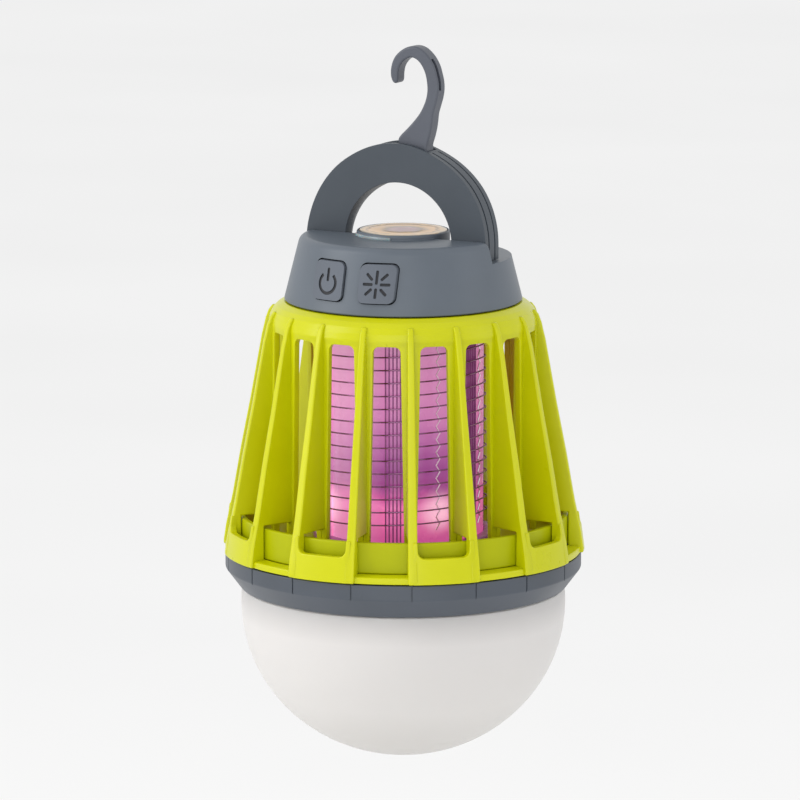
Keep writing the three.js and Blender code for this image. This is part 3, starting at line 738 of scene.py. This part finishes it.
port = prism("t", round_rect(0, 119.7, 10.4, 4.8, 1.6), 15, 45)
portseat = prism("t", round_rect(0, 119.7, 13.9, 7.5, 1.9), 26.0, 45)
cut(cap, *pockets, port, portseat)
soften(cap, 0.3, 3, 42)
level(cap)
paint(cap, SLATE, "lantern")
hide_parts("cap_shell")

# step line where the boss stands on the crown
rim = tube("boss_rim", [(at(a, 11.62)[0], at(a, 11.62)[1], 130.55) for a in np.linspace(-68, 68, 80)], 0.22, 8)
paint(rim, SLATE, "lantern")

# pale teal strip round the boss's front left, a painted highlight on the boss's foot
lens = curved("teal_highlight_strip", fillet([(-11.0, 130.35), (2.4, 130.35), (2.4, 131.15), (-11.0, 131.15)], 0.35, 4), 11.95, 0.75, 0, 0.15, 0.6)
paint(lens, TEAL_HIGHLIGHT, "lantern")

label = lathe("label_print", fillet([(0, 131.15), (10.8, 131.15), (10.8, 131.72), (8.95, 131.72), (8.75, 131.64), (5.2, 131.64), (5.0, 131.72), (0, 131.72)], {2: 0.12, 3: 0.03, 4: 0.03, 5: 0.03, 6: 0.03}, 3))
paint(label, LABEL, "lantern")
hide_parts("label_disc")

# ------------------------------------------------------------------ buttons
def icon_bar(name, cx, cz, ang, r0, r1, w, y0, y1):
    u = Vector((math.cos(rad(ang)), math.sin(rad(ang))))
    v = Vector((-u.y, u.x))
    c = Vector((cx, cz))
    pts = [c + u * r0 - v * w / 2, c + u * r1 - v * w / 2, c + u * r1 + v * w / 2, c + u * r0 + v * w / 2]
    return prism(name, fillet([tuple(p) for p in pts], w * 0.42, 3), y0, y1)


def icon_arc(name, cx, cz, r, w, a0, a1, y0, y1):
    pts = arc(cx, cz, r + w / 2, a0, a1, 30) + arc(cx, cz, r - w / 2, a1, a0, 30)
    return prism(name, pts, y0, y1)


for s, key in ((-1, "power"), (1, "mode")):
    cx = s * 6.6
    body = prism(key + "_button_cap", round_rect(cx, 122.3, 8.8, 9.2, 1.5), -40, -21.3)
    cut(body, solid_cone("t", 0.75, seg=240), op="INTERSECT")
    soften(body, 0.7, 4, 40)
    groove_shade_tools, tools = [], []
    if key == "power":
        def shapes(y0, y1, grow):
            return [icon_arc("t", cx, 121.7, 2.4, 0.66 + grow, 128, 412, y0, y1), icon_bar("t", cx, 121.8, 90, 0.4 - grow / 2, 3.5 + grow / 2, 0.66 + grow, y0, y1)]
    else:
        def shapes(y0, y1, grow):
            out = []
            for a in range(0, 360, 45):
                if a % 90 == 0:
                    out.append(icon_bar("t", cx, 122.2, a, 0.0 if a == 90 else 0.85, 3.3 + grow / 2, 0.6 + grow, y0, y1))
                else:
                    out.append(icon_bar("t", cx, 122.2, a, 1.4, 3.6 + grow / 2, 0.6 + grow, y0, y1))
            return out
    # groove 0.4 mm deep, with a dark floor piece that paints the shade in the groove
    skin = solid_cone("t", 0.35, seg=240)
    grooves = shapes(-40, -20, 0.12)
    g = join("t", grooves)
    cut(g, skin)
    cut(body, g)
    level(body)
    paint(body, RUBBER, f"{key}_key")
    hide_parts(f"{key}_button")
    # painted shade: dark icon pieces sit on the groove floors to darken the grooves
    groove_shade = join(key + "_icon", shapes(-40, -22.0, 0.12))
    cut(groove_shade, solid_cone("t", 0.47, seg=240), op="INTERSECT")
    paint(groove_shade, ICON_GROOVE_SHADE, f"{key}_key")

# charging port cover
flap = prism("port_cover_flap", round_rect(0.15, 119.7, 12.7, 6.5, 1.6), 26.35, 45)
cut(flap, solid_cone("t", 0.15, seg=240), op="INTERSECT")
soften(flap, 0.45, 3, 40)
nub = prism("t", round_rect(0, 119.7, 8.0, 2.6, 1.2), 25.6, 26.6)
tabp = prism("t", round_rect(5.1, 119.7, 1.3, 4.2, 0.6), 27.2, 28.25)
flap = join("port_cover_flap", [flap, nub, tabp])
level(flap)
paint(flap, RUBBER, "port_cover")
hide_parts("usb_cover")

# ------------------------------------------------------------------ handle and hook
ARZ, RO, RI, HY = 129.5, 24.2, 14.2, 3.65
leg = 125.55
HX, HZ, HR = 0.4, 129.1, 14.6
RIM = [(0, 0.1), (30, -0.1), (50, -0.5), (65, -0.7), (80, -0.5), (95, -0.35), (120, -0.4), (135, -0.2), (150, 0.0), (165, 0.3), (180, 0.8)]


def rim_r(deg):
    i = 1
    while i < len(RIM) - 1 and deg > RIM[i][0]:
        i += 1
    p = [RIM[max(i - 2, 0)], RIM[i - 1], RIM[i], RIM[min(i + 1, len(RIM) - 1)]]
    t = (deg - p[1][0]) / (p[2][0] - p[1][0])
    m1 = (p[2][1] - p[0][1]) / max(p[2][0] - p[0][0], 1) * (p[2][0] - p[1][0])
    m2 = (p[3][1] - p[1][1]) / max(p[3][0] - p[1][0], 1) * (p[2][0] - p[1][0])
    return RO + (2 * t ** 3 - 3 * t ** 2 + 1) * p[1][1] + (t ** 3 - 2 * t ** 2 + t) * m1 + (3 * t ** 2 - 2 * t ** 3) * p[2][1] + (t ** 3 - t ** 2) * m2


def rim_arc(off, a0, a1, n):
    out = []
    for i in range(n + 1):
        a = a0 + (a1 - a0) * i / n
        out.append(((rim_r(a) + off) * math.cos(rad(a)), ARZ + (rim_r(a) + off) * math.sin(rad(a))))
    return out


outline = [(RO + 0.1, leg)] + rim_arc(0, 0, 180, 90) + [(-RO - 0.8, leg), (HX - HR, leg)] + arc(HX, HZ, HR, 180, 0, 66) + [(HX + HR, leg)]
handle = prism("handle_arch", outline, -HY, HY)
slot = [(7.95, 160), (7.95, 142.92)] + arc(0, ARZ, RI + 1.4, 60, 155, 40) + arc(0, ARZ, RO + 3, 155, 100, 16)
groove = [(RO - 0.5, 125)] + rim_arc(-0.6, 1, 68, 40) + rim_arc(2, 68, 1, 40) + [(RO + 2.1, 125)]
# the back of the opening is relieved towards the feet
rv, rf, nn = [], [], 96
for y, r, zc in ((-0.8, 14.5, 129.1), (3.65, 16.6, 127.0), (4.6, 17.05, 126.55)):
    for k in range(nn):
        a = 2 * math.pi * k / nn
        rv.append((HX + r * math.cos(a), y, zc + r * math.sin(a)))
for j in range(2):
    for k in range(nn):
        l = (k + 1) % nn
        rf.append((j * nn + k, j * nn + l, (j + 1) * nn + l, (j + 1) * nn + k))
rf += [tuple(range(nn)), tuple(range(3 * nn - 1, 2 * nn - 1, -1))]
relief = build("t", rv, rf)
pin_seat = lathe("t", [(0, -3.0), (1.2, -3.0), (1.2, 9), (0, 9)], 48)
pin_seat.data.transform(Matrix.Translation((0, 0, ZO / 1000)))
pin_seat.data.transform(Matrix.Rotation(rad(-90), 4, "X"))
pin_seat.data.transform(Matrix.Translation((4.8 / 1000, 0, (151.0 - ZO) / 1000)))
cut(handle, relief, prism("t", slot, -2.4, 2.4), prism("t", groove, -1.9, -1.35), prism("t", groove, 1.35, 1.85), pin_seat)
soften(handle, 0.4, 3, 42)
level(handle)
paint(handle, SLATE_ARCH_SHADED, "lantern")
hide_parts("handle")

HOOK = [
    (7.5, 151.0), (7.4, 152.9), (8.0, 154.9), (8.5, 156.9), (8.8, 158.8), (9.05, 160.8), (9.65, 162.8), (10.2, 164.7),
    (10.5, 166.7), (10.4, 168.7), (9.95, 170.6), (9.3, 172.6), (8.0, 174.7), (6.3, 176.3), (4.9, 177.0), (3.5, 177.2),
    (1.9, 176.9), (0.2, 176.0), (-1.3, 174.6), (-2.2, 172.9), (-2.6, 171.0), (-2.5, 169.3), (-1.9, 168.1), (-1.1, 167.9),
    (-0.6, 168.6), (-0.5, 170.3), (-0.1, 172.0), (1.0, 173.5), (2.2, 174.2), (3.3, 174.4), (4.7, 173.8), (5.9, 172.5),
    (6.8, 170.7), (7.25, 168.7), (7.4, 166.7), (7.1, 164.7), (6.4, 162.8), (5.3, 160.8), (3.7, 158.8), (1.9, 156.9),
    (-0.1, 154.9), (-0.5, 153.6), (0.4, 152.6), (1.7, 151.9), (2.1, 150.4), (2.9, 149.0), (4.3, 148.25), (5.8, 148.4), (7.0, 149.4)]
hook = prism("hook_arm", smooth_loop(HOOK, 4), -2.05, 2.05)
# short groove in the outer edge of the spine
rec = smooth_loop([(9.55, 167.0), (9.5, 168.6), (9.0, 170.4), (8.3, 172.2), (7.7, 173.3), (8.2, 174.2), (9.8, 174.2), (11.6, 171.5), (12.4, 168.0), (11.2, 166.6)], 4)
eye = lathe("t", [(0, -9), (1.35, -9), (1.35, 9), (0, 9)], 48)
eye.data.transform(Matrix.Translation((0, 0, ZO / 1000)))
eye.data.transform(Matrix.Rotation(rad(-90), 4, "X"))
eye.data.transform(Matrix.Translation((4.8 / 1000, 0, (151.0 - ZO) / 1000)))
bevel_caps(hook, 0.75, 4, 35, 60)
cut(hook, prism("t", rec, -1.5, -0.3), eye)
level(hook)
paint(hook, SLATE_HOOK_SHADED, "hook")
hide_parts("hook")

# ------------------------------------------------------------------ cage
parts = []
shoulder = fillet([
    (29.5, 114.2), (10.1, 114.2), (10.1, 112.7), (28.4, 112.7), (30.9, 111.3), (31.6, 109.3), (31.6, 107.9),
    (33.2, 107.9), (33.2, 109.3), (32.9, 110.8), (32.2, 112.2), (31.1, 113.3)], {0: 0.5, 8: 1.2, 9: 1.4, 10: 1.4, 11: 1.6}, 6)
parts.append(lathe("t", shoulder))
# window wall: one bent panel a bay, an arch-topped window open at the foot
half = 33.2 * rad(10.0)
wt, wl = 6.5 / 2 * 33.2 / 32.4, 8.2 / 2 * 33.2 / 32.4
panel = fillet([(-half, 57.5), (-wl - 0.08, 57.5), (-wt, 107.8), (wt, 107.8), (wl + 0.08, 57.5), (half, 57.5), (half, 109.0), (-half, 109.0)], {2: 1.5, 3: 1.5}, 6)
for i in range(18):
    parts.append(curved("t", panel, 33.2, 1.6, 20 * i, 0.25, 1.4, 2))
# fins
FIN = [(45.0, 51.8), (45.0, 52.9), (44.4, 56.9), (42.65, 65), (40.5, 77.1), (38.1, 89.2), (35.2, 105.2), (34.7, 107.2), (34.25, 109.2),
       (33.5, 111.2), (32.6, 112.4), (31.7, 112.4), (32.2, 111.0), (32.2, 62.0), (41.12, 62.0), (41.12, 51.8)]
fin_shape = fillet(FIN, {9: 1.0, 10: 0.5}, 4)


def make_fin():
    n = len(fin_shape)
    bm = bmesh.new()
    t = lambda z: (2.4 + (1.5 - 2.4) * min(1, max(0, (z - 52) / 60))) / 2
    a = [bm.verts.new((r, -t(z), z)) for r, z in fin_shape]
    b = [bm.verts.new((r, t(z), z)) for r, z in fin_shape]
    bm.faces.new(a)
    bm.faces.new(b[::-1])
    for i in range(n):
        bm.faces.new((a[i], a[(i + 1) % n], b[(i + 1) % n], b[i]))
    bmesh.ops.recalc_face_normals(bm, faces=bm.faces)
    edges = [e for e in bm.edges if e.calc_face_angle(0) > rad(50)]
    bmesh.ops.bevel(bm, geom=edges, offset=0.42, offset_type="OFFSET", segments=3, profile=0.5, affect="EDGES", clamp_overlap=True)
    me = bpy.data.meshes.new("t")
    bm.to_mesh(me)
    bm.free()
    for v in me.vertices:
        v.co = (v.co.x / 1000, v.co.y / 1000, (v.co.z - ZO) / 1000)
    o = bpy.data.objects.new("t", me)
    bpy.context.scene.collection.objects.link(o)
    outward(o)
    return o


fin = make_fin()
for i in range(18):
    parts.append(turned(fin, -90 + 10 + 20 * i))
bpy.data.objects.remove(fin)
parts.append(lathe("t", fillet([(41.5, 51.8), (44.2, 51.8), (44.2, 53.4), (41.15, 53.7), (41.15, 53.0)], {1: 0.2, 2: 0.45}, 4)))
# foot bands with a rounded corner up each fin
hs = 45.0 * rad(10.0)
band = [(-hs, 51.8), (hs, 51.8), (hs, 62.0), (hs - 1.15, 62.0), (hs - 1.25, 59.9)]
band += [(hs - 1.25 - 1.8 + 1.8 * math.cos(rad(a)), 59.8 - 1.8 * math.sin(rad(a))) for a in (15, 30, 45, 60, 75, 90)]
band += [(-(hs - 1.25 - 1.8 + 1.8 * math.cos(rad(a))), 59.8 - 1.8 * math.sin(rad(a))) for a in (90, 75, 60, 45, 30, 15)]
band += [(-hs + 1.25, 59.9), (-hs + 1.15, 62.0), (-hs, 62.0)]
band_lean = lambda z: 0.0 if z < 52.9 else (z - 52.9) * 0.15
for i in range(9):
    o = curved("t", band, 45.0, 1.8, 40 * i, 0.3, 1.6, 3)
    for v in o.data.vertices:            # leans in with the fins
        z = v.co.z * 1000 + ZO
        k = 1 - band_lean(z) / 45.0
        v.co.x *= k
        v.co.y *= k
    parts.append(o)
cage = join("cage_body", parts)
# roof holes are hidden under the cap
level(cage)
paint(cage, LIME, "lantern")
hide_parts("cage")

# ------------------------------------------------------------------ catch tray
tray = lathe("catch_tray_dish", fillet([(6.5, 53.6), (41.0, 53.6), (41.0, 61.3), (39.5, 61.3), (39.5, 54.9), (6.5, 54.9)], {1: 0.5, 2: 0.45, 3: 0.45, 4: 1.2}, 5))
level(tray)
paint(tray, LIME_TRAY_SHADED, "lamp_base")
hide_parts("catch_tray")

# ------------------------------------------------------------------ grid
def helix(end, n):
    pts = []
    turns, z0, pitch, r = 7.5, 60.0, 6.4, 21.7
    for i in range(n + 1):
        k = i / n
        x, y = at(end - (1 - k) * turns * 360, r)
        pts.append((x, y, z0 + k * turns * pitch))
    x, y = at(end, r)
    top = z0 + turns * pitch
    for q in (0.5, 1.5, 3.0, 5.0, 7.3):
        pts.append((x, y, top + q))
    return pts


for nm, end in (("grid_wire_live", 100), ("grid_wire_return", 280)):
    w = tube(nm + "_round", helix(end, 600), 0.19, 8)
    paint(w, WIRE_PAINTED_GLOW, "lantern")
    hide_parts(nm)

gf = [lathe("t", fillet([(20.1, z0), (22.5, z0), (22.5, z0 + h), (20.1, z0 + h)], {1: 0.4, 2: 0.4}, 4)) for z0, h in ((109.3, 3.1), (55.2, 1.6))]
grid_rings, low_ring = gf
grid_rings.name = "grid_top_ring"
low_ring.name = "grid_foot_ring"
paint(grid_rings, DARK, "lantern")
# the foot ring shares the comb posts' painted glow
paint(low_ring, COMB, "lantern")
posts, plates = [], []
for i in range(6):
    a = 20 + 60 * i
    # back plate with five upright ribs
    pl = [prism("t", fillet([(-2.1, -20.35), (2.1, -20.35), (2.1, -19.95), (-2.1, -19.95)], 0.15, 3), 56, 110, "z")]
    plates.append(turned(pl[0], a))
    bpy.data.objects.remove(pl.pop())
    for x in (-1.85, -0.95, 0.0, 0.95, 1.85):
        pl.append(prism("t", fillet([(x - 0.15, -20.9), (x + 0.15, -20.9), (x + 0.17, -20.3), (x - 0.17, -20.3)], 0.12, 3), 56, 110, "z"))
    one = join("t", pl)
    posts.append(turned(one, a))
    bpy.data.objects.remove(one)
comb = join("grid_comb_posts", posts)
paint(comb, COMB, "lantern")
comb_back = join("grid_comb_plates", plates)
# painted glow: the comb back plates take the sleeve's emissive material though they are no lamp
paint(comb_back, GLOW, "lantern")
# zigzag clips that space the wires, coloured near-white pink as painted glints on the grid
zig = []
for az in (50, 86, 170, 206, 290, 326):
    pts = []
    for i in range(31):
        x, y = at(az + (1.3 if i % 2 else -1.3), 21.6)
        pts.append((x, y, 60.4 + 1.6 * i))
    zig.append(tube("t", pts, 0.2, 6))
glint_clips = join("grid_wire_glint_clips", zig)
paint(glint_clips, CLIP_GLINT, "lantern")
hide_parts("grid_frame")

sleeve = lathe("light_sleeve_tube", fillet([(18.6, 55.3), (19.8, 55.3), (19.8, 112.4), (18.6, 112.4)], 0.25, 3))
paint(sleeve, GLOW, "lantern")
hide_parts("light_sleeve")

# ------------------------------------------------------------------ base ring and dome
ring = [lathe("t", fillet([(38.9, 43.0), (40.6, 43.0), (44.2, 47.8), (44.2, 51.5), (42.6, 51.5), (42.6, 48.3), (39.6, 44.4), (38.9, 44.4)],
                          {1: 0.35, 2: 0.9, 3: 0.3}, 6))]
for i in range(9):
    o = curved("t", [(-hs + 0.06, 45.6), (hs - 0.06, 45.6), (hs - 0.06, 51.5), (-hs + 0.06, 51.5)], 45.0, 2.0, 40 * i, 0.0, 1.6)
    bm = bmesh.new()
    bm.from_mesh(o.data)
    for z in (46.2, 47.0, 47.7, 48.1, 48.5, 48.9):
        bmesh.ops.bisect_plane(bm, geom=bm.verts[:] + bm.edges[:] + bm.faces[:], plane_co=(0, 0, (z - ZO) / 1000), plane_no=(0, 0, 1), dist=1e-8)
    for v in bm.verts:                    # foot of each facet follows the ring's taper
        z = v.co.z * 1000 + ZO
        q = 48.4 - z
        d = 0.0 if q < -0.5 else (q * 0.97 if q > 0.5 else 0.2425 * (q + 0.5) ** 2 * 2)
        if d > 0:
            r = math.hypot(v.co.x, v.co.y) * 1000
            k = (r - d) / r
            v.co.x *= k
            v.co.y *= k
    edges = [e for e in bm.edges if e.calc_face_angle(0) > rad(60)]
    bmesh.ops.bevel(bm, geom=edges, offset=0.00022, offset_type="OFFSET", segments=2, profile=0.5, affect="EDGES", clamp_overlap=True)
    bm.to_mesh(o.data)
    bm.free()
    outward(o)
    ring.append(o)
base = join("base_ring_body", ring)
slits = []
for i in range(9):
    for sgn in (-1, 1):
        g = prism("t", [(-0.2, -46), (0.2, -46), (0.2, -43.95), (-0.2, -43.95)], 46.4, 52.5, "z")
        slits.append(turned(g, 40 * i + sgn * 10.35))
        bpy.data.objects.remove(g)
cut(base, join("t", slits))
level(base)
paint(base, SLATE_BASE_SHADED, "lamp_base")
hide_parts("base_ring")

prof = [(0, 0)]
n = 40
for i in range(1, n + 1):
    t = rad(90 * i / n)
    prof.append((40.3 * math.sin(t), 38.5 - 38.5 * math.cos(t)))
prof += [(40.25, 40.6), (40.1, 42.5), (39.8, 42.75), (38.5, 42.75), (38.5, 45.2), (37.0, 45.2), (37.0, 42.6)]
for i in range(19, 0, -1):
    t = rad(90 * i / 20)
    prof.append((38.4 * math.sin(t), 38.5 - 36.6 * math.cos(t)))
prof.append((0, 1.9))
dome = lathe("dome_shell", prof)
paint(dome, FROST, "lamp_base")
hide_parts("dome_diffuser")

# ------------------------------------------------------------------ finishes of the pieces kept from the frame
KEEP = {
    "hook_pin": STEEL, "usb_port": STEEL, "power_switch": DARK, "mode_switch": DARK, "hv_transformer": DARK,
    "button_board": BOARD, "main_board": BOARD, "uv_led_board": BOARD, "contact_disc": BOARD, "hv_capacitor": COPPER,
    "battery_spring": BRASS, "battery_contact": BRASS, "lamp_contact_pin_1": BRASS, "lamp_contact_pin_2": BRASS,
    "battery_cell": CELL, "battery_tube": WHITE, "led_carrier": WHITE, "lamp_board": WHITE, "reflector": WHITE,
    "dome_seal": RUBBER, "base_plate": SLATE_BASE_SHADED,
}
for n_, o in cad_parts.items():
    m = KEEP.get(n_)
    if n_.startswith("uv_led_") and n_ != "uv_led_board":
        m = LED_V
    elif n_.startswith("lamp_led_"):
        m = LED_W
    elif n_.startswith("cap_screw") or n_.startswith("base_screw"):
        m = SCREW
    if m is None:
        m = DARK
    if len(o.data.materials) == 0:
        o.data.materials.append(m)
    for i in range(len(o.material_slots)):
        o.material_slots[i].link = "OBJECT"
        o.material_slots[i].material = m
